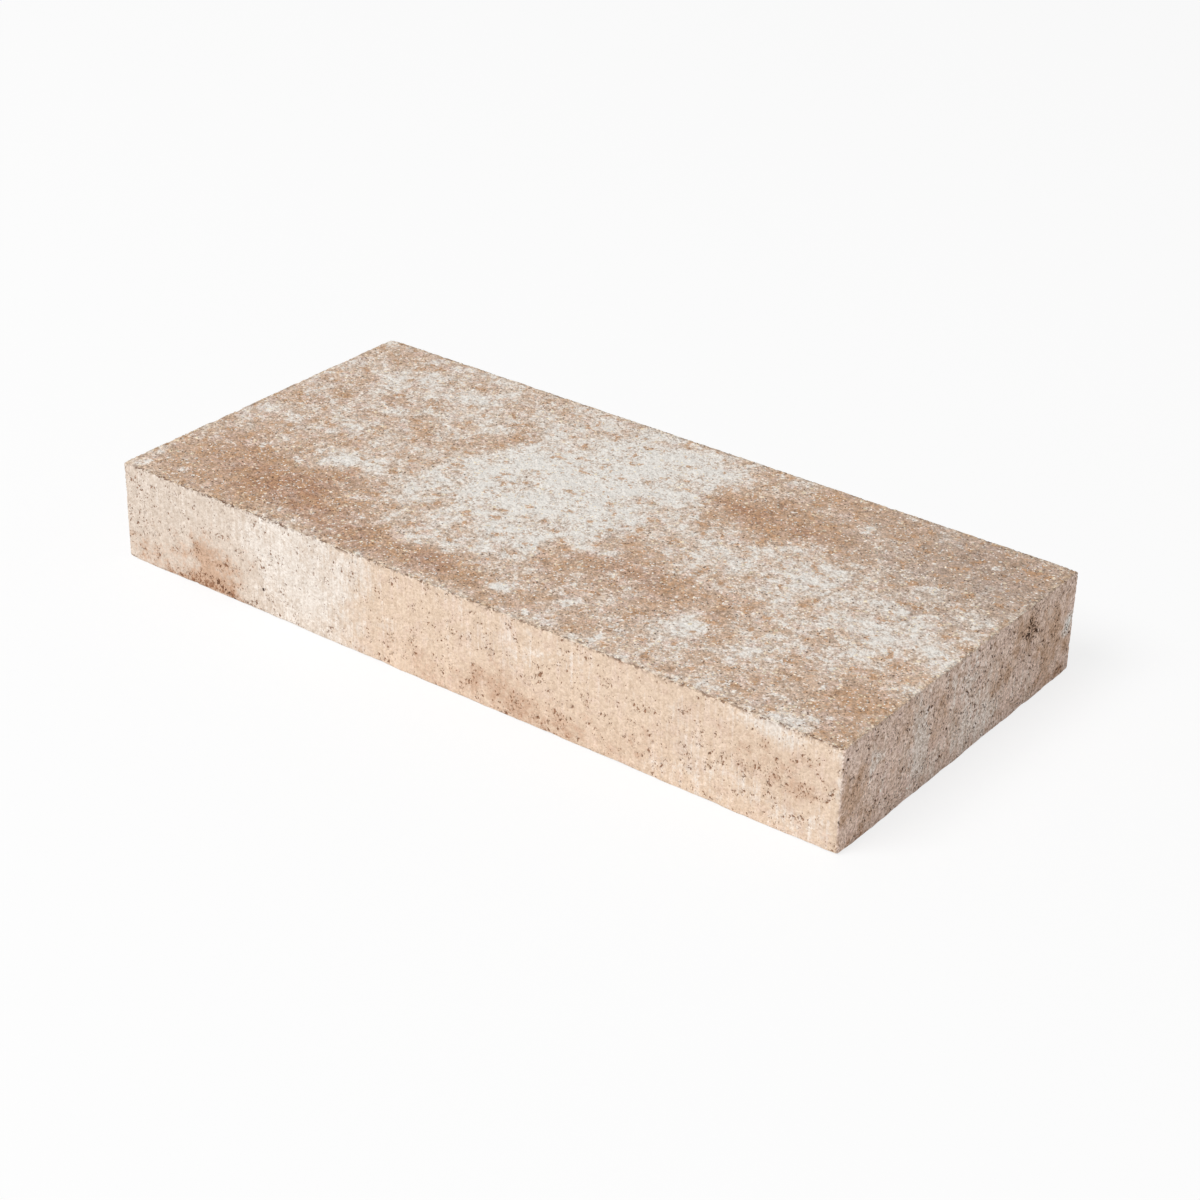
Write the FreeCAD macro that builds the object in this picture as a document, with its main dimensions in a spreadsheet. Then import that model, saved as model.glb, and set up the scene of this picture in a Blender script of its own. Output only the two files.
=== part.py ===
"""Wall coping stone: one slab of vibration-pressed concrete that caps a garden wall.

The frame is in millimetres, +Z up, with the origin at the middle of the underside.
X runs along the wall, Y across it. The underside beds on the wall, the ends butt against the next stones.
"""

import FreeCAD
import Part
import Sketcher
import os

PARTS_FOLDER = "parts"

# Driving dimensions of the stone, in millimetres: alias, value, what it measures.
DRIVING_SIZES = (
    ("stone_length", 400, "end face to end face, along the wall"),
    ("stone_depth", 190, "front face to back face, across the wall"),
    ("stone_thickness", 50, "underside to top"),
    ("corner_radius", 2.5, "upright corners, rounded by the mould box"),
    ("top_arris_radius", 1.5, "edge of the top, worn by brushing the face"),
    ("bed_arris_radius", 1.0, "edge of the underside, left by the pallet board"),
)


def make_size_sheet(doc):
    """Writes the driving dimensions to a spreadsheet, each cell named by its alias."""
    sheet = doc.addObject("Spreadsheet::Sheet", "Sizes")
    for row, (alias, value, meaning) in enumerate(DRIVING_SIZES, start=1):
        sheet.set(f"A{row}", alias)
        sheet.set(f"B{row}", str(value))
        sheet.setAlias(f"B{row}", alias)
        sheet.set(f"C{row}", meaning)
    doc.recompute()
    return sheet


def origin_plane(body, role):
    """One of the body's own origin planes, such as XY_Plane."""
    return next(plane for plane in body.Origin.OriginFeatures if plane.Role == role)


def draw_plan_outline(body, sheet):
    """Sketches the stone's plan on the bed plane: a rectangle centred on the origin."""
    outline = body.newObject("Sketcher::SketchObject", "PlanOutline")
    outline.AttachmentSupport = (origin_plane(body, "XY_Plane"), [""])
    outline.MapMode = "FlatFace"

    half_length = sheet.stone_length / 2
    half_depth = sheet.stone_depth / 2
    plan_corners = [
        FreeCAD.Vector(-half_length, -half_depth, 0),
        FreeCAD.Vector(half_length, -half_depth, 0),
        FreeCAD.Vector(half_length, half_depth, 0),
        FreeCAD.Vector(-half_length, half_depth, 0),
    ]
    sides = [
        outline.addGeometry(Part.LineSegment(start, end), False)
        for start, end in zip(plan_corners, plan_corners[1:] + plan_corners[:1])
    ]
    front, right, back, left = sides
    start_point, end_point = 1, 2
    origin_geometry, origin_point = -1, 1

    for side, next_side in zip(sides, sides[1:] + sides[:1]):
        outline.addConstraint(Sketcher.Constraint("Coincident", side, end_point, next_side, start_point))
    for side in (front, back):
        outline.addConstraint(Sketcher.Constraint("Horizontal", side))
    for side in (right, left):
        outline.addConstraint(Sketcher.Constraint("Vertical", side))
    outline.addConstraint(
        Sketcher.Constraint("Symmetric", front, start_point, right, end_point, origin_geometry, origin_point)
    )
    for name, kind, side, alias in (
        ("plan_length", "DistanceX", front, "stone_length"),
        ("plan_depth", "DistanceY", right, "stone_depth"),
    ):
        index = outline.addConstraint(
            Sketcher.Constraint(kind, side, start_point, side, end_point, getattr(sheet, alias))
        )
        outline.renameConstraint(index, name)
        outline.setExpression(f"Constraints.{name}", f"Sizes.{alias}")
    return outline


def pressed_slab(body, outline):
    """Pads the plan up to the stone's thickness, as the mould box is filled and pressed."""
    slab = body.newObject("PartDesign::Pad", "PressedSlab")
    slab.Profile = outline
    slab.setExpression("Length", "Sizes.stone_thickness")
    return slab


def edge_names(feature, wanted):
    """Names of the feature's edges that a test on their bounding box picks out."""
    return [
        f"Edge{number}"
        for number, edge in enumerate(feature.Shape.Edges, start=1)
        if wanted(edge.BoundBox)
    ]


def round_edges(body, base, name, radius_alias, wanted):
    """Adds a fillet of one named radius to the base feature's wanted edges."""
    body.Document.recompute()
    fillet = body.newObject("PartDesign::Fillet", name)
    fillet.Base = (base, edge_names(base, wanted))
    fillet.setExpression("Radius", f"Sizes.{radius_alias}")
    return fillet


def make_coping_stone(doc, sheet):
    """The whole stone: a pressed slab with rounded corners, a worn top arris and a finer bed arris."""
    body = doc.addObject("PartDesign::Body", "CopingStone")
    body.Label = "coping_stone"

    bed_height = 0
    top_height = sheet.stone_thickness
    level = 1e-6

    def is_upright(box):
        return abs(box.ZLength - top_height) < level

    def is_top_edge(box):
        return abs(box.ZMin - top_height) < level

    def is_bed_edge(box):
        return abs(box.ZMax - bed_height) < level

    slab = pressed_slab(body, draw_plan_outline(body, sheet))
    corners = round_edges(body, slab, "UprightCorners", "corner_radius", is_upright)
    top_arris = round_edges(body, corners, "TopArris", "top_arris_radius", is_top_edge)
    round_edges(body, top_arris, "BedArris", "bed_arris_radius", is_bed_edge)
    doc.recompute()
    return body


def check_document(doc, bodies):
    """Stops the build if an object failed to recompute or a body is not one valid solid."""
    for item in doc.Objects:
        if {"Invalid", "Error"} & set(item.State):
            raise RuntimeError(f"{item.Label} failed to recompute: {item.State}")
    for body in bodies:
        shape = body.Shape
        if shape.isNull() or not shape.isValid() or len(shape.Solids) != 1:
            raise RuntimeError(f"{body.Label} is not one valid solid")


def export_parts(bodies):
    """Writes each body to its own STEP file, named after its label."""
    os.makedirs(PARTS_FOLDER, exist_ok=True)
    for body in bodies:
        body.Shape.exportStep(os.path.join(PARTS_FOLDER, f"{body.Label}.step"))
        box = body.Shape.optimalBoundingBox(False, False)
        print(
            f"{body.Label}: {box.XLength:.2f} x {box.YLength:.2f} x {box.ZLength:.2f} mm, "
            f"{body.Shape.Volume / 1000:.1f} cm3, {len(body.Shape.Faces)} faces"
        )


def main():
    doc = FreeCAD.newDocument("WallCopingStone")
    sheet = make_size_sheet(doc)
    bodies = [make_coping_stone(doc, sheet)]
    check_document(doc, bodies)
    export_parts(bodies)


main()
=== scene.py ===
"""Wall coping stone: a pressed concrete slab with crumbled arrises, a mottled top and pitted sides.

The stone's skin is a fine box mesh. Fields of sand grains, pits and draw marks move it inwards from the
solid's faces, and the finish reads the same fields, so a pit is darkened with painted shade where it is
deep.
"""

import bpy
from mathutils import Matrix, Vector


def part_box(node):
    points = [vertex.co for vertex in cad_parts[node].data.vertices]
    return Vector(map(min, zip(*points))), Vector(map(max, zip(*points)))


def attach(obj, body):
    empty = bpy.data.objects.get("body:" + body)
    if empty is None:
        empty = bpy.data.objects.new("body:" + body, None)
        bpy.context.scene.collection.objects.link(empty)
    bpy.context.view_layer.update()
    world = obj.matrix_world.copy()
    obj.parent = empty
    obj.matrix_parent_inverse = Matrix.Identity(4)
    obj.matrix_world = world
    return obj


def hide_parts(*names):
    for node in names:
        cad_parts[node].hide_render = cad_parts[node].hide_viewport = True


bl_info = {
    "name": "Wall coping stone",
    "version": (1, 0, 0),
    "blender": (4, 5, 0),
    "location": "View3D > Sidebar > Coping stone",
    "description": "Builds the weathered skin and finish of a pressed concrete coping stone, and its stage",
    "category": "Object",
}

import math
from typing import NamedTuple

import bpy
import numpy as np
from mathutils import Matrix, Vector, noise

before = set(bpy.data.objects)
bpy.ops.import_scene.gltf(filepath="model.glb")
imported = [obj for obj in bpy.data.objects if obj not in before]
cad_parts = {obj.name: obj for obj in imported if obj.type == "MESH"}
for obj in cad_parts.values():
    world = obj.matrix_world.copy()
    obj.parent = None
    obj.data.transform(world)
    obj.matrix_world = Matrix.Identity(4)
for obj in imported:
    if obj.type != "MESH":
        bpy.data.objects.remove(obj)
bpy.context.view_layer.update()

NODE = "coping_stone"
PIECE = "weathered_stone"
BODY = "root"
MM = 0.001

# Spread of plain noise about its middle. A cloud is noise measured in its own spread.
PLAIN_NOISE_SPREAD = 0.124

# How fast a grain's dome falls from 1 at its middle, for each width of a cell.
DOME_FALL = 1.4

# Blender's noise module starts from the clock unless it is given a seed.
NOISE_SEED = 2

LOW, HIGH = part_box(NODE)
CENTRE = (LOW + HIGH) / 2
HALF = (HIGH - LOW) / 2
THICKNESS = HIGH.z - LOW.z


def paint(red, green, blue):
    """A display colour of 0 to 255 a channel, as the linear colour that a shader takes."""
    shares = (channel / 255 for channel in (red, green, blue))
    return tuple(
        share / 12.92 if share <= 0.04045 else ((share + 0.055) / 1.055) ** 2.4 for share in shares
    )


def length(name, default_mm, description):
    """A length property, with its default given in millimetres."""
    return bpy.props.FloatProperty(
        name=name, description=description, default=default_mm * MM, min=0, precision=5, unit="LENGTH"
    )


def share(name, default, description):
    """A property from 0 to 1."""
    return bpy.props.FloatProperty(
        name=name, description=description, default=default, min=0, max=1, subtype="FACTOR"
    )


def colour(name, default, description):
    """A colour property, with its default given as a display colour."""
    return bpy.props.FloatVectorProperty(
        name=name, description=description, default=paint(*default), size=3, min=0, max=1, subtype="COLOR"
    )


class StoneShape(bpy.types.PropertyGroup):
    """Relief of the stone's skin."""

    skin_step: length("Skin step", 0.7, "Spacing of the points that carry the relief before thinning")
    triangle_limit: bpy.props.IntProperty(
        name="Triangle limit",
        description="Triangles left after thinning the skin",
        default=194000,
        min=1000,
    )
    skin_gap: length("Skin gap", 0.02, "Gap between the solid and the skin, which thinning may use up")
    arris: length("Arris", 0.5, "Least rounding of the long and short edges")
    arris_wear: length("Arris wear", 0.7, "Most that uneven wear adds to an arris")
    corner: length("Upright corner", 1.6, "Rounding of the four upright corners")
    chip_size: length("Chip spacing", 13, "Spacing of the larger chips along an arris")
    chip_depth: length("Chip depth", 1.2, "How far a larger chip opens an arris")
    crumb_depth: length("Crumb depth", 0.45, "Depth of a grain lost from an arris")
    grain: length("Grain", 2.0, "Width of the coarse sand grains")
    grain_height: length("Grain height", 0.32, "How far coarse grains stand up on the top")
    fine_grain: length("Fine grain", 1.1, "Width of the fine sand grains")
    fine_height: length("Fine grain height", 0.15, "How far fine grains stand up on the top")
    wave: length("Wave", 38, "Length of the slow waves of the top")
    wave_height: length("Wave height", 0.2, "Depth of the slow waves of the top")
    pit: length("Pit width", 1.5, "Spacing of the forms that make the pits in the sides")
    pore: length("Pore width", 0.85, "Spacing of the forms that make the fine pores in the sides")
    blow_hole: length("Blow hole", 0.8, "Half width of the one open blow hole in the front")
    pit_depth: length("Pit depth", 0.8, "Depth of the pits in the sides")
    draw_mark: length("Draw mark", 1.1, "Spacing of the upright marks that the mould leaves")
    draw_depth: length("Draw mark depth", 0.1, "Depth of the draw marks")


class StoneFinish(bpy.types.PropertyGroup):
    """Colours of the concrete, and of the shade and highlight painted on it."""

    clay: colour("Clay", (198, 166, 140), "Brown cement of the top")
    rust: colour("Rust", (177, 135, 107), "Darker, redder cement in the brown parts of the top")
    ochre: colour("Ochre", (193, 153, 119), "Yellower cement in small clumps of the top")
    blush: colour("Blush", (216, 188, 173), "Pinker cement in small clumps of the top")
    peach: colour("Peach", (222, 200, 181), "Paler cement that washes the top")
    # Painted shade: a greyer, darker colour laid over the back right corner of the top.
    corner_shade: colour("Faded", (170, 162, 156), "Greyer cement at one corner of the top")
    lime: colour("Lime", (239, 234, 227), "White cement that mottles the top")
    # Cream sand grains, also laid on the top's lip, where it is partly a painted highlight.
    sand: colour("Sand", (243, 227, 196), "Cream sand grains in the top")
    # Dark grains of the top, and painted shade in the pits of the ends, in bursts of pits and in the blow
    # hole.
    speck_and_pit_shade: colour("Speck", (70, 50, 38), "Dark grains and shadowed crumbs")
    # Painted shade between the crumbs of an arris and under the lip of the top.
    crumb: colour("Crumb", (116, 80, 56), "Shadow between the crumbs of an arris")
    drawn: colour("Drawn side", (230, 206, 183), "Smooth cement of the sides")
    ashen: colour("Ashen side", (225, 209, 194), "Greyer cement in the left part of the front")
    chalk: colour("Chalk", (237, 226, 215), "Chalky bloom on the sides")
    rose: colour("Rose", (230, 203, 190), "Pinkish cement of the ends")
    stain: colour("Stain", (206, 173, 148), "Brown stain on the sides")
    # Painted shade at the bottom of a pit, also laid between the loose crumbs at the foot of the sides.
    hole: colour("Hole", (146, 97, 64), "Bottom of a pit")
    dust: length("Dust", 0.8, "Width of the finest sand grains, which are colour and bump alone")
    roughness: share("Roughness", 0.92, "Roughness of the concrete")
    gloss: share("Gloss", 0.25, "Specular level of the concrete")
    bump: share("Bump", 0.8, "Strength of the finest grain")


class StageSettings(bpy.types.PropertyGroup):
    """Camera, floor and lamps."""

    azimuth: bpy.props.FloatProperty(
        name="Azimuth",
        description="Turn of the camera round the stone from its front face",
        default=math.radians(36.69),
        unit="ROTATION",
    )
    elevation: bpy.props.FloatProperty(
        name="Elevation",
        description="Height of the camera above the horizon",
        default=math.radians(28.82),
        unit="ROTATION",
    )
    roll: bpy.props.FloatProperty(
        name="Roll", description="Lean of the camera", default=math.radians(1.33), unit="ROTATION"
    )
    distance: length("Distance", 1194.2, "From the camera to the middle of the stone")
    slide_right: bpy.props.FloatProperty(
        name="Slide right", description="Camera moved to its right", default=6.9 * MM, unit="LENGTH"
    )
    slide_up: bpy.props.FloatProperty(
        name="Slide up", description="Camera moved upwards", default=-17.05 * MM, unit="LENGTH"
    )
    lens: bpy.props.FloatProperty(
        name="Lens", description="Focal length on a 36 mm sensor", default=78.4, min=1, unit="CAMERA"
    )
    floor: colour("Floor", (250, 250, 250), "Floor as it lights the stone")
    floor_white: share("Floor white", 0.78, "Share of plain white that the camera sees in the floor")
    ambient: bpy.props.FloatProperty(
        name="Ambient", description="Strength of the even light from all round", default=0.39, min=0
    )
    key_power: bpy.props.FloatProperty(
        name="Key power",
        description="Power of the soft lamp at the front left",
        default=238,
        min=0,
        unit="POWER",
    )
    key_place: bpy.props.FloatVectorProperty(
        name="Key place",
        description="Where the soft lamp hangs",
        default=(-1.32, -3.25, 4.54),
        size=3,
        subtype="TRANSLATION",
        unit="LENGTH",
    )
    key_width: length("Key width", 3200, "Width of the soft lamp")


class Field:
    """One socket of a node tree in a Python expression: values add Math nodes, vectors Vector Math."""

    def __init__(self, sheet, socket):
        self.sheet = sheet
        self.socket = socket

    def __add__(self, other):
        return self.sheet.maths("ADD", self, other)

    def __radd__(self, other):
        return self.sheet.maths("ADD", other, self)

    def __sub__(self, other):
        return self.sheet.maths("SUBTRACT", self, other)

    def __rsub__(self, other):
        return self.sheet.maths("SUBTRACT", other, self)

    def __mul__(self, other):
        return self.sheet.maths("MULTIPLY", self, other)

    def __rmul__(self, other):
        return self.sheet.maths("MULTIPLY", other, self)

    def __truediv__(self, other):
        return self.sheet.maths("DIVIDE", self, other)

    def __rtruediv__(self, other):
        return self.sheet.maths("DIVIDE", other, self)

    def __abs__(self):
        return self.sheet.maths("ABSOLUTE", self)

    def at_least(self, other):
        """The larger of the two."""
        return self.sheet.maths("MAXIMUM", self, other)

    def at_most(self, other):
        """The smaller of the two."""
        return self.sheet.maths("MINIMUM", self, other)

    def past(self, start, soft):
        """0 up to start, and 1 from a little past it."""
        return (self - start).smooth(0, soft)

    def smooth(self, start, end):
        """Rises smoothly from 0 at start to 1 at end, or falls where end is below start."""
        ease = {"interpolation_type": "SMOOTHSTEP"}
        ranges = {"Value": self, "From Min": start, "From Max": end}
        return self.sheet.node("ShaderNodeMapRange", ease, ranges)["Result"]


class NodeSheet:
    """Adds nodes to one node tree, of a finish or of a relief."""

    def __init__(self, tree):
        self.tree = tree

    def node(self, kind, settings=None, inputs=None):
        """Adds one node: its settings first, then a value or link for each socket. Gives its outputs."""
        made = self.tree.nodes.new(kind)
        for name, value in (settings or {}).items():
            setattr(made, name, value)
        for name, value in (inputs or {}).items():
            socket = next(s for s in made.inputs if s.enabled and name in (s.identifier, s.name))
            if isinstance(value, Field):
                self.tree.links.new(value.socket, socket)
            elif socket.type == "VECTOR" and isinstance(value, (int, float)):
                socket.default_value = (value, value, value)
            elif socket.type == "RGBA":
                socket.default_value = (*tuple(value)[:3], 1)
            else:
                socket.default_value = value
        return {socket.name: Field(self, socket) for socket in made.outputs if socket.enabled}

    def maths(self, operation, *terms):
        """One Math node, or one Vector Math node where a term is a vector."""
        vector = any(isinstance(term, Field) and term.socket.type == "VECTOR" for term in terms)
        vector = vector or any(isinstance(term, tuple) for term in terms)
        first = "Vector" if vector else "Value"
        sockets = (first, f"{first}_001", f"{first}_002")
        kind = "ShaderNodeVectorMath" if vector else "ShaderNodeMath"
        return self.node(kind, {"operation": operation}, dict(zip(sockets, terms)))[first]

    def parts(self, vector):
        """The three values of a vector or a colour."""
        split = self.node("ShaderNodeSeparateXYZ", {}, {"Vector": vector})
        return split["X"], split["Y"], split["Z"]

    def mixed(self, factor, first, second, blend="MIX"):
        """One colour over another."""
        inputs = {"Factor": factor, "A": first, "B": second}
        return self.node("ShaderNodeMix", {"data_type": "RGBA", "blend_type": blend}, inputs)["Result"]

    def coated(self, base, *coats):
        """A colour under coats of others, each given as its amount and its colour."""
        for amount, coat in coats:
            base = self.mixed(amount, base, coat)
        return base

    def cloud(self, place, size, detail=2, roughness=0.5):
        """Soft noise with forms of one size and finer ones in them, about 0 and with a spread of 1."""
        layers = [roughness**layer for layer in range(detail + 1)]
        spread = PLAIN_NOISE_SPREAD * math.hypot(*layers) / sum(layers)
        inputs = {"Vector": place, "Scale": 1 / size, "Detail": detail, "Roughness": roughness}
        return (self.node("ShaderNodeTexNoise", {}, inputs)["Fac"] - 0.5) / spread

    def cells(self, place, size):
        """Random cells of one size: the dome over each cell's middle, and three chances a cell."""
        found = self.node("ShaderNodeTexVoronoi", {}, {"Vector": place, "Scale": 1 / size})
        dome = (1 - found["Distance"] * DOME_FALL).at_least(0)
        return dome, *self.parts(found["Color"])


def empty_sheet(owner):
    """The node sheet of a material or a world, cleared."""
    owner.use_nodes = True
    owner.node_tree.nodes.clear()
    return NodeSheet(owner.node_tree)


# A patch fades to nothing at this many times its half widths.
PATCH_REACH = 1.3

# Two sizes of noise make a patch's border ragged: the width of the forms, and how far they move it.
RAGGED_BAYS = (26 * MM, 9 * MM)
RAGGED_NICKS = (7 * MM, 4 * MM)


class Patch(NamedTuple):
    """A soft oval laid on a face: its middle and half widths in millimetres, and its strength."""

    along: float
    across: float
    half_along: float
    half_across: float
    strength: float


# Mottle of the top: lime above 0, clay below. Along is +X and across is +Y, from the middle of the top.
TOP_MOTTLE = (
    Patch(-25, 20, 60, 46, 1.0),
    Patch(-6, 67, 35, 34, 0.8),
    Patch(20, 60, 12, 34, 0.55),
    Patch(-92, 56, 14, 14, 0.5),
    Patch(-74, -1, 14, 12, 0.4),
    Patch(-10, -38, 17, 20, 0.88),
    Patch(14, -10, 24, 20, 0.42),
    Patch(-60, 35, 20, 16, 0.3),
    Patch(-55, 78, 36, 20, 0.5),
    Patch(-52, -20, 32, 18, 0.58),
    Patch(-140, 62, 54, 30, 0.3),
    Patch(-112, 67, 14, 9, 0.5),
    Patch(-150, 67, 9, 7, 0.5),
    Patch(-100, -28, 34, 16, 0.4),
    Patch(-120, -30, 12, 8, 0.5),
    Patch(112, 8, 96, 32, 0.35),
    Patch(170, -16, 24, 20, 0.4),
    Patch(110, 24, 12, 9, 0.25),
    Patch(92, -60, 24, 16, 0.5),
    Patch(122, -22, 24, 13, 0.35),
    Patch(82, -18, 20, 11, 0.25),
    Patch(95, -51, 9, 7, 0.5),
    Patch(31, -22, 6, 5, 0.9),
    Patch(15, -25, 9, 6, 0.5),
    Patch(173, -91, 10, 6, 0.3),
    Patch(50, -95, 140, 7, 0.15),
    Patch(11, -70, 5, 5, 1.0),
    Patch(-182, -74, 26, 20, -0.25),
    Patch(140, 85, 16, 8, 0.4),
    Patch(-30, -60, 60, 14, 0.15),
    Patch(-60, -50, 40, 22, 0.2),
    Patch(150, -48, 44, 22, 0.2),
    Patch(72, 51, 48, 19, -0.8),
    Patch(52, 46, 14, 30, -0.1),
    Patch(36, -6, 22, 13, -0.35),
    Patch(10, -53, 15, 11, -0.45),
    Patch(64, -34, 60, 25, -0.4),
    Patch(-128, -65, 60, 28, -0.8),
    Patch(-35, -80, 66, 13, -0.65),
    Patch(-140, 3, 40, 15, 0.25),
    Patch(-165, -42, 22, 16, -0.35),
    Patch(-77, 38, 8, 15, -0.7),
    Patch(155, 54, 50, 22, -0.3),
    Patch(172, 80, 36, 22, -0.4),
    Patch(170, -55, 34, 22, -0.3),
    Patch(110, 84, 60, 18, -0.4),
    Patch(-112, -39, 7, 11, -0.5),
    Patch(187, -68, 20, 28, -0.4),
    Patch(-190, 0, 22, 36, 0.12),
    Patch(16, 48, 8, 8, -0.6),
    Patch(-57, 55, 8, 7, -0.3),
)

# Where painted shade makes the back right corner of the top greyer and darker. Along and across are as
# above.
TOP_CORNER_SHADE = (
    Patch(172, 62, 80, 64, 1.0),
)

# Mottle of the front: chalk above 0, stain below. Along is +X and across is +Z, from its foot's middle.
FRONT_MOTTLE = (
    Patch(-165, 38, 30, 18, 0.2),
    Patch(-100, 28, 50, 46, 0.65),
    Patch(-20, 40, 80, 24, 0.1),
    Patch(60, 38, 26, 14, 0.25),
    Patch(-40, 14, 24, 14, 0.25),
    Patch(-192, 34, 12, 20, 0.15),
    Patch(186, 10, 18, 10, 0.3),
    Patch(196, 36, 8, 20, 0.4),
    Patch(120, 6, 14, 6, 0.3),
    Patch(102, 20, 16, 14, -0.25),
    Patch(164, 46, 30, 7, 0.3),
    Patch(-140, 15, 28, 20, -1.25),
    Patch(-142, 34, 22, 14, -0.3),
    Patch(-142, 2, 40, 8, -0.7),
    Patch(-190, 6, 20, 12, -0.8),
    Patch(20, 8, 90, 14, -0.55),
    Patch(70, 10, 46, 12, -0.2),
    Patch(172, 30, 30, 15, -0.55),
    Patch(138, 34, 20, 14, -0.25),
)

# Where the front is greyer. Along and across are as above.
FRONT_ASH = (
    Patch(-138, 25, 88, 140, 3.0),
)

# Mottle of the right end: chalk above 0, stain below. Along is +Y and across is +Z, from its foot's middle.
RIGHT_MOTTLE = (
    Patch(-70, 28, 14, 18, 0.45),
    Patch(-70, 31, 6, 5, 0.7),
    Patch(-40, 26, 11, 30, 0.7),
    Patch(-92, 18, 6, 24, -0.5),
    Patch(4, 40, 20, 16, 0.55),
    Patch(18, 18, 14, 12, 0.2),
    Patch(66, 44, 10, 8, 0.15),
    Patch(90, 26, 5, 6, 3.0),
    Patch(70, 24, 4, 3, 0.7),
    Patch(27, 11, 3, 3, 0.8),
    Patch(-22, 27, 13, 15, -0.8),
    Patch(80, 36, 10, 12, -0.6),
    Patch(-50, 40, 12, 14, -0.6),
    Patch(8, 12, 26, 14, 0.35),
    Patch(55, 38, 26, 18, -0.5),
    Patch(-86, 20, 14, 26, -0.7),
    Patch(79, 16, 20, 20, -1.15),
)

# How much the top arris along the front has crumbled. Along is +X and across is the way from it.
FRONT_WEAR = (
    Patch(-130, 0, 80, 4, 1.0),
    Patch(-20, 0, 60, 3, 0.5),
    Patch(180, 0, 30, 4, 0.8),
)

# Chips of the top arris along the front. Along is +X and across is the way from it, over either face.
FRONT_CHIPS = (
    Patch(-169, 0, 7, 4, 1.0),
    Patch(-183, 0, 4, 2, 0.6),
    Patch(-152, 0, 5, 2, 0.5),
    Patch(-120, 0, 6, 2, 0.4),
    Patch(-62, 0, 4, 2, 0.5),
    Patch(24, 0, 3, 2, 0.6),
    Patch(163, 0, 5, 3, 0.5),
    Patch(181, 0, 4, 3, 0.7),
)

# The one open blow hole of the front.
BLOW_HOLE = (CENTRE.x - 112 * MM, LOW.y, LOW.z + 12 * MM)

# Where the front and the right end are pitted. Dark pits open where strengths add up to a burst.
FRONT_PITS = (
    Patch(-190, 24, 18, 40, 0.7),
    Patch(-134, 3, 48, 6, 2.0),
    Patch(-120, 49, 80, 4, 0.8),
    Patch(-116, 25, 12, 10, 0.6),
    Patch(-146, 13, 22, 12, 0.7),
    Patch(-85, 34, 14, 8, 0.4),
    Patch(-50, 38, 10, 8, 0.4),
    Patch(-40, 22, 60, 22, 0.1),
    Patch(25, 8, 66, 12, 0.4),
    Patch(30, 7, 36, 7, 0.3),
    Patch(-50, 6, 24, 8, 0.4),
    Patch(110, 15, 80, 18, 0.3),
    Patch(170, 24, 26, 14, 0.8),
    Patch(-60, 25, 50, 40, -0.25),
)
RIGHT_PITS = (
    Patch(0, 25, 130, 50, 0.75),
    Patch(54, 39, 10, 8, 2.1),
    Patch(50, 34, 22, 16, 0.35),
    Patch(55, 28, 26, 20, 0.5),
    Patch(-6, 31, 46, 14, 0.4),
)


def laid(patches, along, across):
    """The sum of soft ovals at points of a face, in metres."""
    total = np.zeros(len(along))
    for patch in patches:
        off_along = (along / MM - patch.along) / patch.half_along
        off_across = (across / MM - patch.across) / patch.half_across
        total += patch.strength * np.clip(1 - (off_along**2 + off_across**2) / PATCH_REACH**2, 0, 1) ** 2
    return total


def ragged(corners, size, reach):
    """Points moved a little by soft noise, so that the border of a patch laid on them is ragged."""
    moves = [noise.noise_vector(Vector(corner)) for corner in corners / size]
    return corners + np.array(moves) * reach


def box_skin(step):
    """Corners and squares of a closed box mesh on the solid's six faces, with points about a step apart."""
    counts = [max(2, round(2 * extent / step)) for extent in HALF]
    lines = [np.linspace(low, high, count + 1) for low, high, count in zip(LOW, HIGH, counts)]
    places = []
    squares = []
    start = 0
    for axis in range(3):
        first, second = (axis + 1) % 3, (axis + 2) % 3
        across = counts[second] + 1
        rows, columns = np.meshgrid(np.arange(counts[first] + 1), np.arange(across), indexing="ij")
        corner = (np.arange(counts[first])[:, None] * across + np.arange(counts[second])).ravel()
        ring = np.stack([corner, corner + across, corner + across + 1, corner + 1], 1)
        for end, order in ((0, slice(None, None, -1)), (counts[axis], slice(None))):
            grid = np.empty((rows.size, 3), int)
            grid[:, axis] = end
            grid[:, first] = rows.ravel()
            grid[:, second] = columns.ravel()
            places.append(grid)
            squares.append(ring[:, order] + start)
            start += rows.size
    unique, shared = np.unique(np.concatenate(places), axis=0, return_inverse=True)
    corners = np.stack([lines[axis][unique[:, axis]] for axis in range(3)], 1)
    return corners, shared.reshape(-1)[np.concatenate(squares)]


def mesh_of(name, corners, squares):
    """A mesh of four-sided faces."""
    mesh = bpy.data.meshes.new(name)
    mesh.vertices.add(len(corners))
    mesh.vertices.foreach_set("co", corners.astype(np.float32).ravel())
    mesh.loops.add(squares.size)
    mesh.loops.foreach_set("vertex_index", squares.astype(np.int32).ravel())
    mesh.polygons.add(len(squares))
    mesh.polygons.foreach_set("loop_start", np.arange(0, squares.size, 4, dtype=np.int32))
    mesh.update(calc_edges=True)
    return mesh


def store(mesh, name, values):
    """Keeps a value or a vector at each point of a mesh."""
    kind, key = ("FLOAT_VECTOR", "vector") if values.ndim == 2 else ("FLOAT", "value")
    mesh.attributes.new(name, kind, "POINT").data.foreach_set(key, values.astype(np.float32).ravel())


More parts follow.
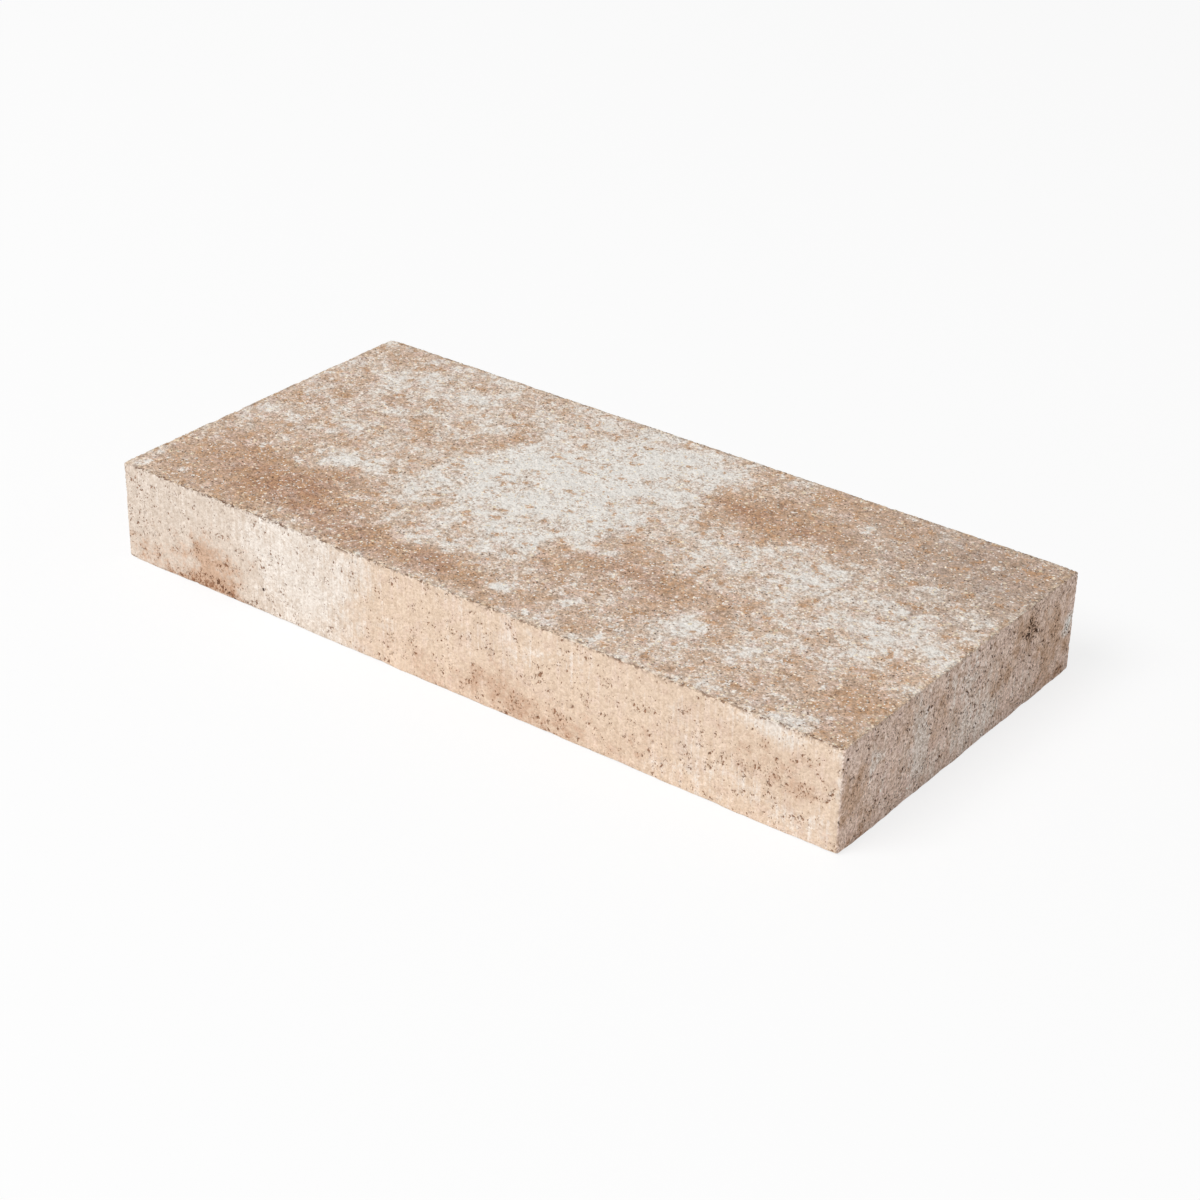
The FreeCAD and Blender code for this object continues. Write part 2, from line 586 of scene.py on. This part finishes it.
def lay_out(mesh, corners):
    """Keeps at each point its place on the solid, its gap to the nearest edge, and the layouts."""
    to_face = np.stack([HALF[axis] - np.abs(corners[:, axis] - CENTRE[axis]) for axis in range(3)], 1)
    x, y, z = corners.T
    on_front = np.isclose(y, LOW.y)
    on_right = np.isclose(x, HIGH.x) & ~on_front
    from_front_arris = y - LOW.y + HIGH.z - z
    noise.seed_set(NOISE_SEED)
    ragged_x, ragged_y, ragged_z = ragged(ragged(corners, *RAGGED_BAYS), *RAGGED_NICKS).T
    height = ragged_z - LOW.z

    def on_sides(front, right=()):
        at_front = np.where(on_front, laid(front, ragged_x, height), 0)
        return np.where(on_right, laid(right, ragged_y, height), at_front)

    layouts = {
        "rest_place": corners,
        "edge_gap": to_face.sum(1) - to_face.max(1),
        "top_mottle": laid(TOP_MOTTLE, ragged_x, ragged_y),
        "top_fade": laid(TOP_CORNER_SHADE, ragged_x, ragged_y),
        "side_mottle": on_sides(FRONT_MOTTLE, RIGHT_MOTTLE),
        "ashen": on_sides(FRONT_ASH),
        "pitted": on_sides(FRONT_PITS, RIGHT_PITS),
        "chipped": laid(FRONT_CHIPS, x, from_front_arris),
        "worn": laid(FRONT_WEAR, x, from_front_arris),
    }
    for name, values in layouts.items():
        store(mesh, name, values)


# Widths of the forms in the clouds that vary the stone.
DRIFT_FORM = 70 * MM
PATCH_FORM = 17 * MM
WEAR_FORM = 12 * MM
LUMP_FORM = 9 * MM
CLUSTER_FORM = 7 * MM
CLOT_FORM = 6 * MM
HUE_FORM = 6 * MM
FLECK_FORM = 5 * MM
STREAK_FORM = 5 * MM
GRIT_FORM = 1.8 * MM

# A place scaled by these makes forms that stand upright.
DRAWN_OUT = (1, 1, 0.05)
STREAKED = (1, 1, 0.1)
PIT_STRETCH = (1, 1, 0.7)

# Where a field starts and where it is full, by height above the bed.
TOP_BAND = (THICKNESS - 1.0 * MM, THICKNESS - 0.2 * MM)
ARRIS_BAND = (THICKNESS - 4.0 * MM, THICKNESS - 1.0 * MM)
UNDER_LIP_BAND = (THICKNESS - 1.5 * MM, THICKNESS - 0.9 * MM)
CRUMB_BAND = (3.0 * MM, 12.0 * MM)
BED_CRUMB_BAND = (8.0 * MM, 2.0 * MM)
BED_WEAR_BAND = (6.0 * MM, 1.0 * MM)
BED_BAND = (0.6 * MM, 0.1 * MM)

# The same by the gap to the nearest edge or upright corner, and by the way from the middle to an end.
EDGE_BAND = (3.2 * MM, 0.5 * MM)
LIP_BAND = (4.0 * MM, 1.0 * MM)
FRINGE_BAND = (0, 0.5 * MM)
CORNER_BAND = (8.0 * MM, 2.0 * MM)
END_BAND = (HALF.x - 1.4 * MM, HALF.x - 0.5 * MM)

# The same by a cloud's spreads, for what is open only at its peaks, and by the dome of a grain.
PIT_BAND = (2.5, 3.0)
PORE_BAND = (2.2, 2.7)
CHIP_BAND = (1.8, 3.0)
DUST_BAND = (0.1, 0.4)

# Layouts of pits that add up to more than this open a burst of dark pits.
BURST_STARTS = 1.4

# The blow hole's wall, in its half widths: where it starts and where it is full.
HOLE_WALL = (1.3, 0.6)

# How far the finest grain stands up as bump, and how far grit frays the top's fringe.
BUMP_HEIGHT = 0.5 * MM
FRINGE_FRAY = 0.2 * MM


class StoneFields:
    """What the relief and the finish have in common: grains, pits, draw marks and the faces they lie on.

    A tuple added to a place only shifts a cloud or a set of grains, so that no two are alike.
    """

    def __init__(self, sheet, shape, place, kept):
        self.sheet = sheet
        self.place = place
        self.edge_gap = kept("edge_gap")
        self.pitted = kept("pitted")
        self.worn = kept("worn")
        self.height = sheet.parts(place)[2] - LOW.z
        self.on_top = self.height.smooth(*TOP_BAND)
        self.on_bed = self.height.smooth(*BED_BAND)

        coarse = sheet.cells(place, shape.grain)
        self.grain_dome, self.grain_tone, self.grain_kind, self.grain_hold = coarse
        fine = sheet.cells(place + (0.7, 0.3, 0.5), shape.fine_grain)
        self.fine_dome, self.fine_tone, self.fine_kind, self.fine_hold = fine

        self.draw_mark = sheet.cloud(place * DRAWN_OUT, shape.draw_mark)
        self.cluster = sheet.cloud(place + (0.2, 0.9, 0.4), CLUSTER_FORM)
        self.burst = (self.pitted - BURST_STARTS).at_least(0)
        gather = self.cluster * 0.65 - 0.15 + self.draw_mark * 0.15 + self.pitted * 0.8
        gather = gather.at_most(0.9) + self.burst * 0.6
        upright = place * PIT_STRETCH + (0.5, 0.6, 0.3)
        self.pit = (sheet.cloud(upright, shape.pit) + gather).smooth(*PIT_BAND)
        pores = sheet.cloud(upright + (0.2, 0.1, 0.7), shape.pore, detail=1)
        self.pore = (pores + gather).smooth(*PORE_BAND)

        hole_inputs = {"Vector": place, "Vector_001": BLOW_HOLE}
        hole_gap = sheet.node("ShaderNodeVectorMath", {"operation": "DISTANCE"}, hole_inputs)["Value"]
        self.blow_hole = hole_gap.smooth(*(shape.blow_hole * wall for wall in HOLE_WALL))
        self.near_edge = self.edge_gap.smooth(*EDGE_BAND)
        self.loose = self.fine_hold.past(0.66, 0.05).at_least(self.grain_hold.past(0.8, 0.05))
        self.crumb = self.near_edge * self.loose * self.height.smooth(*CRUMB_BAND)


def edge_radius(fields, shape, chipped, offset):
    """How far the edges are rounded: by wear and chips along an arris, and by the mould at the corners."""
    sheet, place = fields.sheet, fields.place
    wear = (sheet.cloud(place, WEAR_FORM, detail=3) * 0.25 + 0.5).at_least(0).at_most(1)
    wear = wear + fields.height.smooth(*BED_WEAR_BAND) * wear * 0.4
    chip = sheet.cloud(place + (0.4, 0.1, 0.8), shape.chip_size, detail=3).smooth(*CHIP_BAND)
    chip = chip.at_least(chipped)
    arris = wear * shape.arris_wear + shape.arris + chip * shape.chip_depth
    gap_x, gap_y, _ = sheet.parts(tuple(HALF) - abs(offset))
    at_corner = gap_x.at_least(gap_y).smooth(*CORNER_BAND)
    return arris + (shape.corner - arris).at_least(0) * at_corner


def relief_depth(fields, shape, radius):
    """How deep grains, waves, draw marks, pits and lost crumbs lie below the rounded box."""
    grain = (1 - fields.grain_dome) * shape.grain_height
    fine = (1 - fields.fine_dome) * shape.fine_height
    wave = (fields.sheet.cloud(fields.place, shape.wave) * 0.25 + 0.5).at_least(0) * shape.wave_height
    mark = (fields.draw_mark * 0.3 + 0.6).at_least(0) * shape.draw_depth
    rough = (fields.pitted * 0.5 + 0.15).at_most(1)
    top = grain + fine + wave
    side = mark + fields.pit.at_least(fields.blow_hole) * shape.pit_depth + grain * rough
    bed = wave + fields.pit * shape.pit_depth
    depth = top * fields.on_top + side * (1 - fields.on_top) * (1 - fields.on_bed)
    lost = fields.crumb * (fields.worn * 0.8 + 0.7) * shape.crumb_depth
    depth = depth + bed * fields.on_bed + lost
    return depth.at_most(radius * 0.9 + fields.edge_gap * 0.4) + shape.skin_gap


def relief_tree(shape):
    """The node group that rounds the box's edges and carves the relief, always inwards from the solid."""
    tree = bpy.data.node_groups.new("stone_relief", "GeometryNodeTree")
    for way in ("INPUT", "OUTPUT"):
        tree.interface.new_socket("Geometry", in_out=way, socket_type="NodeSocketGeometry")
    sheet = NodeSheet(tree)

    def kept(name):
        settings = {"data_type": "FLOAT"}
        return sheet.node("GeometryNodeInputNamedAttribute", settings, {"Name": name})["Attribute"]

    place = sheet.node("GeometryNodeInputPosition")["Position"]
    fields = StoneFields(sheet, shape, place, kept)
    offset = place - tuple(CENTRE)
    radius = edge_radius(fields, shape, kept("chipped"), offset)
    inner = (tuple(HALF) - radius).at_least((0, 0, 0))
    core = offset.at_most(inner).at_least(inner * -1)
    outward = sheet.maths("NORMALIZE", offset - core)
    moved = core + outward * (radius - relief_depth(fields, shape, radius)) + tuple(CENTRE)

    geometry = sheet.node("NodeGroupInput")["Geometry"]
    inputs = {"Geometry": geometry, "Position": moved}
    carved = sheet.node("GeometryNodeSetPosition", {}, inputs)["Geometry"]
    sheet.node("NodeGroupOutput", {}, {"Geometry": carved})
    return tree


class FinishFields(StoneFields):
    """What the parts of the finish have in common: soft clouds, each grain's tone, dust and the ends."""

    def __init__(self, sheet, shape, finish):
        def kept(name, output="Fac"):
            return sheet.node("ShaderNodeAttribute", {"attribute_name": name})[output]

        place = kept("rest_place", "Vector")
        super().__init__(sheet, shape, place, kept)
        self.top_mottle = kept("top_mottle")
        self.top_fade = kept("top_fade")
        self.side_mottle = kept("side_mottle")
        self.ashen = kept("ashen")

        self.slow = sheet.cloud(place + (0.8, 0.8, 0.2), DRIFT_FORM)
        self.patchy = sheet.cloud(place, PATCH_FORM, detail=4, roughness=0.6)
        self.lumpy = sheet.cloud(place + (0.5, 0.2, 0.6), LUMP_FORM, detail=4, roughness=0.6)
        self.hue = sheet.cloud(place + (0.6, 0.2, 0.3), HUE_FORM, detail=3, roughness=0.6)
        self.flecky = sheet.cloud(place + (0.3, 0.7, 0.6), FLECK_FORM, detail=4, roughness=0.65)
        self.gritty = sheet.cloud(place + (0.1, 0.4, 0.9), GRIT_FORM, detail=3, roughness=0.8)

        dust = sheet.cells(place + (0.9, 0.5, 0.1), finish.dust)
        self.dust_dome, dust_tone, self.dust_kind, _ = dust
        self.dust_spot = self.dust_dome.smooth(*DUST_BAND)
        self.fleck = self.grain_tone - 0.5
        self.fine_fleck = self.fine_tone - 0.5
        self.dust_fleck = dust_tone - 0.5
        self.on_end = abs(sheet.parts(place)[0] - CENTRE.x).smooth(*END_BAND)


def top_cement(fields, finish):
    """Colour of the top, from brown to peach with clumps of lime, and how milky it is."""
    sheet = fields.sheet
    mottle, patchy, lumpy = fields.top_mottle, fields.patchy, fields.lumpy
    flecky, gritty, hue = fields.flecky, fields.gritty, fields.hue
    fleck, fine_fleck, dust_fleck = fields.fleck, fields.fine_fleck, fields.dust_fleck
    loose_grain = fleck + fine_fleck

    rusty = (fields.slow * 0.4 + patchy * 0.5 + flecky * 0.2 - mottle * 1.3).smooth(-0.1, 1.5)
    ochreous = (hue + fine_fleck * 2).smooth(0.2, 2.2)
    wash = (mottle * 0.68 + patchy * 0.12 + flecky * 0.06).smooth(-0.5, 0.35)
    blushing = (fleck * 2 - hue).smooth(0.3, 1.9) * (wash * 0.5 + 0.35)

    clump = mottle * 0.68 + patchy * 0.1 + flecky * 0.09 + gritty * 0.05
    clump = (clump + fleck * 0.2 + fine_fleck * 0.18 + dust_fleck * 0.08).smooth(-0.08, 0.6)
    lump = (lumpy + loose_grain + wash * 0.8).smooth(2.1, 3.1) * wash.smooth(0.1, 0.5)

    clean = (patchy + lumpy * 0.7).smooth(-0.9, 0.9)
    clotty = sheet.cloud(fields.place + (0.4, 0.9, 0.1), CLOT_FORM, detail=3, roughness=0.6)
    clot = (loose_grain * 0.8 + clotty - clean * 0.7).smooth(0.8, 1.9) * 0.85
    milky = clump.at_least(lump) * (1 - clot)
    pepper = (fine_fleck + dust_fleck + gritty * 0.1 + clean * 0.4).smooth(-0.05, -0.7) * milky
    top = sheet.coated(
        finish.clay,
        (rusty, finish.rust),
        (ochreous, finish.ochre),
        (wash * 0.9, finish.peach),
        (blushing, finish.blush),
        # Painted shade at the back right corner of the top.
        (fields.top_fade * 0.35, finish.corner_shade),
        (clump, finish.lime),
        (clot, finish.ochre),
        (lump * 0.85, finish.lime),
        (pepper * 0.8, finish.clay),
    )
    return top, milky


def sanded(fields, finish, top, milky):
    """The top with its cream sand, pale pebbles, and pale and dark dust."""
    sandy = fields.fine_kind.past(0.94, 0.03) * fields.fine_dome.smooth(0.2, 0.45)
    pebble_dome = (fields.grain_dome + fields.gritty * 0.05).smooth(0.25, 0.5)
    pebble = fields.grain_kind.past(0.95, 0.02) * pebble_dome
    pebble_colour = fields.sheet.mixed(fields.grain_hold, finish.sand, finish.lime)
    pale_dust = fields.dust_kind.past(0.92, 0.02) * fields.dust_spot
    dark_dust = (0.045 - milky * 0.04 - fields.dust_kind).smooth(0, 0.01) * fields.dust_spot
    return fields.sheet.coated(
        top,
        (sandy * 0.85, finish.sand),
        (pebble * 0.8, pebble_colour),
        (pale_dust, finish.lime),
        (dark_dust * 0.85, finish.speck_and_pit_shade),
    )


def side_cement(fields, finish):
    """Colour of the sides: drawn cement with chalk and stain, pinker on the ends, and painted shade in the
    pits, the blow hole and the crumbs at the foot.
    """
    sheet = fields.sheet
    mottle, patchy, flecky, gritty = fields.side_mottle, fields.patchy, fields.flecky, fields.gritty
    hue, draw_mark, on_end = fields.hue, fields.draw_mark, fields.on_end

    rosy = (on_end * 0.6 + draw_mark.smooth(0.2, 2.5) * 0.2 + hue.smooth(0, 2) * 0.25).at_most(1)
    ashy = (fields.ashen + flecky * 0.1).smooth(0, 1.5)
    streak_place = fields.place * STREAKED + (0.3, 0.5, 0.2)
    streak = sheet.cloud(streak_place, STREAK_FORM, detail=3, roughness=0.6)
    chalky = mottle + fields.slow * 0.1 + patchy * 0.12 + streak * (on_end * 0.1 + 0.06)
    chalky = (chalky + draw_mark * 0.09 + flecky * 0.1 + gritty * 0.1).smooth(-0.05, 0.8)
    chalk = sheet.mixed(on_end * 0.25, finish.chalk, finish.rose)

    stained = patchy * 0.15 + flecky * 0.16 + gritty * 0.16 - mottle + fields.cluster * 0.1
    stained = stained + fields.pitted * 0.2 + (patchy + hue) * 0.14 * on_end
    # Painted shade between the loose crumbs near the foot of the sides, where the stain is strong.
    bed_crumb_shade = (stained + fields.burst * 0.4).smooth(0.7, 1.5) * fields.height.smooth(*BED_CRUMB_BAND)
    # Painted shade: pits and pores are darkened where the relief carves them, more and darker on the ends.
    deep = (fields.pit.at_least(fields.pore) * (0.8 + on_end * 1.2)).at_most(0.95)
    hole = sheet.mixed(on_end * 0.8, finish.hole, finish.speck_and_pit_shade)
    return sheet.coated(
        finish.drawn,
        (rosy, finish.rose),
        (ashy, finish.ashen),
        (chalky, chalk),
        (stained.smooth(0.1, 1.4), finish.stain),
        (bed_crumb_shade * fields.loose * 0.75, finish.hole),
        (mottle.past(1.2, 0.8), finish.lime),
        # Painted shade in the pits, in the bursts of pits and in the blow hole.
        (deep, hole),
        (fields.pit * fields.burst.smooth(0.2, 1.2), finish.speck_and_pit_shade),
        (fields.blow_hole, finish.speck_and_pit_shade),
    )


def crumbled(fields, finish, skin):
    """The skin with its arrises crumbled: a sandy lip that is partly a painted highlight, painted shade
    between the crumbs and under the lip, and pale crumbs.
    """
    worn, on_end, on_top = fields.worn, fields.on_end, fields.on_top
    broken = (fields.cluster * 0.3 + 0.7).at_least(0).at_most(1)
    # The lip: pale sand along the top's edges, partly real sand and partly a painted highlight where the
    # arris catches the light.
    sandy = (fields.fine_fleck + fields.gritty * 0.2).smooth(-0.3, 0.5)
    lip = on_top * fields.edge_gap.smooth(*LIP_BAND) * sandy
    by_top = fields.height.smooth(*ARRIS_BAND) * broken
    # Painted shade in the gaps between lost crumbs along the arrises, less on the ends.
    crumb_gap_shade = fields.crumb * (by_top * (worn * 0.4 + 0.55) + 0.1) * (1 - on_end * 0.7)
    pale_crumb = fields.near_edge * worn * fields.dust_kind.past(0.7, 0.05) * fields.dust_spot
    # Painted shade in a thin broken line just under the top's lip on the sides.
    under_lip_shade = fields.height.smooth(*UNDER_LIP_BAND) * (1 - on_top) * fields.fine_hold.past(0.5, 0.1)
    under_lip_shade = under_lip_shade * (worn * 0.3 + 0.6) * broken * (1 - on_end * 0.8)
    return fields.sheet.coated(
        skin,
        (lip * 0.35, finish.sand),
        (crumb_gap_shade, finish.crumb),
        (pale_crumb * 0.7, finish.lime),
        (under_lip_shade, finish.crumb),
    )


def grain_tones(fields, milky):
    """How light or dark each grain is, as a colour to multiply by. Dark grains of the sides are warmer."""
    on_side = 1 - fields.on_top
    tone = fields.fleck * 0.1 + fields.fine_fleck * 0.18 + fields.dust_fleck * 0.3 + fields.gritty * 0.04
    liveliness = 0.7 + fields.on_top * (0.75 - milky * 0.95) + fields.on_end * on_side * 1.2
    shift = tone * liveliness + fields.flecky * 0.015 + fields.draw_mark * 0.022 * (1 + fields.on_end)
    warm = shift * on_side * 0.16
    tones = {"Red": 1 + shift - warm, "Green": 1 + shift, "Blue": 1 + shift + warm}
    return fields.sheet.node("ShaderNodeCombineColor", {}, tones)["Color"]


def grain_normal(fields, finish):
    """The finest grain and the pores, as bump."""
    height = fields.grain_dome * 0.4 + fields.fine_dome * 0.5 + fields.dust_dome * 0.4
    height = (height + fields.gritty * 0.05) * (fields.on_top * 0.5 + 0.5)
    height = height - fields.pore.at_least(fields.pit) * 0.8
    inputs = {"Strength": finish.bump, "Distance": BUMP_HEIGHT, "Height": height}
    return fields.sheet.node("ShaderNodeBump", {}, inputs)["Normal"]


def concrete(shape, finish):
    """Mottled concrete: brown and white cement with sand on top, drawn and pitted cement on the sides."""
    material = bpy.data.materials.new("mottled_concrete")
    sheet = empty_sheet(material)
    fields = FinishFields(sheet, shape, finish)
    top, milky = top_cement(fields, finish)
    fringe = (fields.edge_gap + fields.gritty * FRINGE_FRAY).smooth(*FRINGE_BAND)
    side = side_cement(fields, finish)
    skin = sheet.mixed(fields.on_top * fringe, side, sanded(fields, finish, top, milky))
    skin = crumbled(fields, finish, skin)
    skin = sheet.mixed(1.0, skin, grain_tones(fields, milky), blend="MULTIPLY")
    shader_inputs = {
        "Base Color": skin,
        "Roughness": finish.roughness,
        "Specular IOR Level": finish.gloss,
        "Normal": grain_normal(fields, finish),
    }
    shader = sheet.node("ShaderNodeBsdfPrincipled", {}, shader_inputs)["BSDF"]
    sheet.node("ShaderNodeOutputMaterial", {}, {"Surface": shader})
    return material


def carved_mesh(piece, shape):
    """The piece's mesh after its relief is carved and thinned to the triangle limit."""
    relief = piece.modifiers.new("relief", "NODES")
    relief.node_group = relief_tree(shape)
    thinning = piece.modifiers.new("thinning", "DECIMATE")
    thinning.ratio = min(1, shape.triangle_limit / (2 * len(piece.data.polygons)))
    thinning.use_collapse_triangulate = True
    evaluated = piece.evaluated_get(bpy.context.evaluated_depsgraph_get())
    mesh = bpy.data.meshes.new_from_object(evaluated)
    piece.modifiers.clear()
    return mesh


# The map for baking: its name, and the gap between the faces on it.
BAKE_MAP = "OFBake"
MAP_GAP = 4 * MM

# Rows of that map: for each face its axis, the way it faces, and the axis that runs along the row.
MAP_ROWS = (
    ((2, 1, 0),),
    ((2, -1, 0),),
    ((1, -1, 0),),
    ((1, 1, 0),),
    ((0, 1, 1), (0, -1, 1)),
)


def other_axis(first, second):
    """The axis that is neither of two."""
    return 3 - first - second


def read(items, key, width, kind):
    """A value or vector of each item, one row an item."""
    values = np.empty(len(items) * width, kind)
    items.foreach_get(key, values)
    return values.reshape(-1, width)


def unfold(mesh):
    """Lays the six faces side by side on a map, each seen straight on, so that a bake keeps their scale."""
    size = HALF * 2
    origins = {}
    down = MAP_GAP
    for row in MAP_ROWS:
        right = MAP_GAP
        for axis, way, along in row:
            origins[axis, way] = (right, down, along)
            right += size[along] + MAP_GAP
        axis, _, along = row[0]
        down += size[other_axis(axis, along)] + MAP_GAP
    side = max(down, size.x + 2 * MAP_GAP)

    normals = read(mesh.polygons, "normal", 3, np.float32)
    counts = read(mesh.polygons, "loop_total", 1, np.int32).ravel()
    facing = np.abs(normals).argmax(1)
    sign = np.sign(normals[np.arange(len(normals)), facing]).astype(int)
    facing, sign = np.repeat(facing, counts), np.repeat(sign, counts)
    corners = read(mesh.loops, "vertex_index", 1, np.int32).ravel()
    at = read(mesh.vertices, "co", 3, np.float32)[corners] - np.array(LOW)

    flat = np.zeros((len(corners), 2), np.float32)
    for (axis, way), (right, down, along) in origins.items():
        here = (facing == axis) & (sign == way)
        flat[here, 0] = right + at[here, along]
        flat[here, 1] = down + at[here, other_axis(axis, along)]
    mesh.uv_layers.new(name=BAKE_MAP).uv.foreach_set("vector", (flat / side).ravel())


class COPING_OT_build_stone(bpy.types.Operator):
    """Build the stone: a closed skin with crumbled arrises, grains, pits and draw marks"""

    bl_idname = "coping.build_stone"
    bl_label = "Build stone"

    def execute(self, context):
        shape = context.scene.coping_shape
        finish = context.scene.coping_finish
        corners, squares = box_skin(shape.skin_step)
        mesh = mesh_of(PIECE, corners, squares)
        lay_out(mesh, corners)
        stone = bpy.data.objects.new(PIECE, mesh)
        context.scene.collection.objects.link(stone)
        stone.data = carved_mesh(stone, shape)
        bpy.data.meshes.remove(mesh)
        stone.data.name = PIECE
        stone.data.materials.append(concrete(shape, finish))
        stone.data.shade_smooth()
        unfold(stone.data)
        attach(stone, BODY)
        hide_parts(NODE)
        return {"FINISHED"}


# Half width of the floor, and its gap under the stone, which keeps the two from sharing a plane.
FLOOR_REACH = 4
FLOOR_GAP = 0.05 * MM

# Width of the camera's sensor in millimetres, and the nearest that it sees in metres.
SENSOR_WIDTH = 36
NEAREST_SEEN = 0.01

WHITE = (1, 1, 1)


def seen_plainly(sheet):
    """1 for what the camera sees straight, in a mirror or through glass, and 0 for light on the stone."""
    path = sheet.node("ShaderNodeLightPath")
    return path["Is Camera Ray"].at_least(path["Is Glossy Ray"]).at_least(path["Is Transmission Ray"])


def make_floor(stage):
    """A wide pale floor that looks white and keeps the stone's shadow."""
    mesh = bpy.data.meshes.new("floor")
    corners = [(x * FLOOR_REACH, y * FLOOR_REACH, 0) for x, y in ((-1, -1), (1, -1), (1, 1), (-1, 1))]
    mesh.from_pydata(corners, [], [(0, 1, 2, 3)])
    floor = bpy.data.objects.new("floor", mesh)
    floor.location.z = LOW.z - FLOOR_GAP
    bpy.context.scene.collection.objects.link(floor)
    material = bpy.data.materials.new("pale_floor")
    sheet = empty_sheet(material)
    matt = sheet.node("ShaderNodeBsdfDiffuse", {}, {"Color": stage.floor})["BSDF"]
    white = sheet.node("ShaderNodeEmission", {}, {"Color": WHITE, "Strength": 1})["Emission"]
    blend = {"Fac": seen_plainly(sheet) * stage.floor_white, "Shader": matt, "Shader_001": white}
    surface = sheet.node("ShaderNodeMixShader", {}, blend)["Shader"]
    sheet.node("ShaderNodeOutputMaterial", {}, {"Surface": surface})
    mesh.materials.append(material)


def make_world(stage):
    """Even light from all round, and plain white where the camera looks past the floor."""
    world = bpy.data.worlds.new("studio")
    sheet = empty_sheet(world)
    even_inputs = {"Color": WHITE, "Strength": stage.ambient}
    even = sheet.node("ShaderNodeBackground", {}, even_inputs)["Background"]
    white = sheet.node("ShaderNodeBackground", {}, {"Color": WHITE, "Strength": 1})["Background"]
    blend = {"Fac": seen_plainly(sheet), "Shader": even, "Shader_001": white}
    surface = sheet.node("ShaderNodeMixShader", {}, blend)["Shader"]
    sheet.node("ShaderNodeOutputWorld", {}, {"Surface": surface})
    bpy.context.scene.world = world


def make_lamp(name, place, width, power):
    """A square soft lamp that faces the middle of the stone."""
    data = bpy.data.lights.new(name, "AREA")
    data.size = width
    data.energy = power
    lamp = bpy.data.objects.new(name, data)
    lamp.location = place
    lamp.rotation_mode = "QUATERNION"
    lamp.rotation_quaternion = (CENTRE - Vector(place)).to_track_quat("-Z", "Y")
    bpy.context.scene.collection.objects.link(lamp)


def make_camera(stage):
    """The camera, turned round the middle of the stone and then slid in its own plane."""
    turn, rise, lean = stage.azimuth, stage.elevation, stage.roll
    back = Vector((math.sin(turn) * math.cos(rise), -math.cos(turn) * math.cos(rise), math.sin(rise)))
    level = Vector((math.cos(turn), math.sin(turn), 0))
    plumb = back.cross(level)
    right = level * math.cos(lean) + plumb * math.sin(lean)
    upward = plumb * math.cos(lean) - level * math.sin(lean)
    data = bpy.data.cameras.new("camera")
    data.lens = stage.lens
    data.sensor_width = SENSOR_WIDTH
    data.clip_start = NEAREST_SEEN
    camera = bpy.data.objects.new("camera", data)
    place = CENTRE + right * stage.slide_right + upward * stage.slide_up + back * stage.distance
    turned = Matrix((right, upward, back)).transposed().to_4x4()
    camera.matrix_world = Matrix.Translation(place) @ turned
    bpy.context.scene.collection.objects.link(camera)
    bpy.context.scene.camera = camera


class COPING_OT_set_stage(bpy.types.Operator):
    """Set the stage: a pale floor, even light with a soft key lamp at the front left, and the camera"""

    bl_idname = "coping.set_stage"
    bl_label = "Set stage"

    def execute(self, context):
        stage = context.scene.coping_stage
        make_floor(stage)
        make_world(stage)
        make_lamp("key", stage.key_place, stage.key_width, stage.key_power)
        make_camera(stage)
        context.scene.view_settings.view_transform = "Standard"
        return {"FINISHED"}


class COPING_PT_sidebar(bpy.types.Panel):
    """Lists the steps and their settings"""

    bl_idname = "COPING_PT_sidebar"
    bl_label = "Coping stone"
    bl_space_type = "VIEW_3D"
    bl_region_type = "UI"
    bl_category = "Coping stone"

    def draw(self, context):
        scene = context.scene
        for operator, groups in (
            (COPING_OT_build_stone, (scene.coping_shape, scene.coping_finish)),
            (COPING_OT_set_stage, (scene.coping_stage,)),
        ):
            box = self.layout.box()
            box.operator(operator.bl_idname)
            for group in groups:
                for name in group.bl_rna.properties.keys():
                    if name not in ("rna_type", "name"):
                        box.prop(group, name)


SETTINGS = {"coping_shape": StoneShape, "coping_finish": StoneFinish, "coping_stage": StageSettings}
CLASSES = (*SETTINGS.values(), COPING_OT_build_stone, COPING_OT_set_stage, COPING_PT_sidebar)


def register():
    for kind in CLASSES:
        bpy.utils.register_class(kind)
    for name, kind in SETTINGS.items():
        setattr(bpy.types.Scene, name, bpy.props.PointerProperty(type=kind))


def unregister():
    for name in SETTINGS:
        delattr(bpy.types.Scene, name)
    for kind in reversed(CLASSES):
        bpy.utils.unregister_class(kind)


def main():
    register()
    bpy.ops.coping.build_stone()
    bpy.ops.coping.set_stage()


if __name__ == "__main__":
    main()
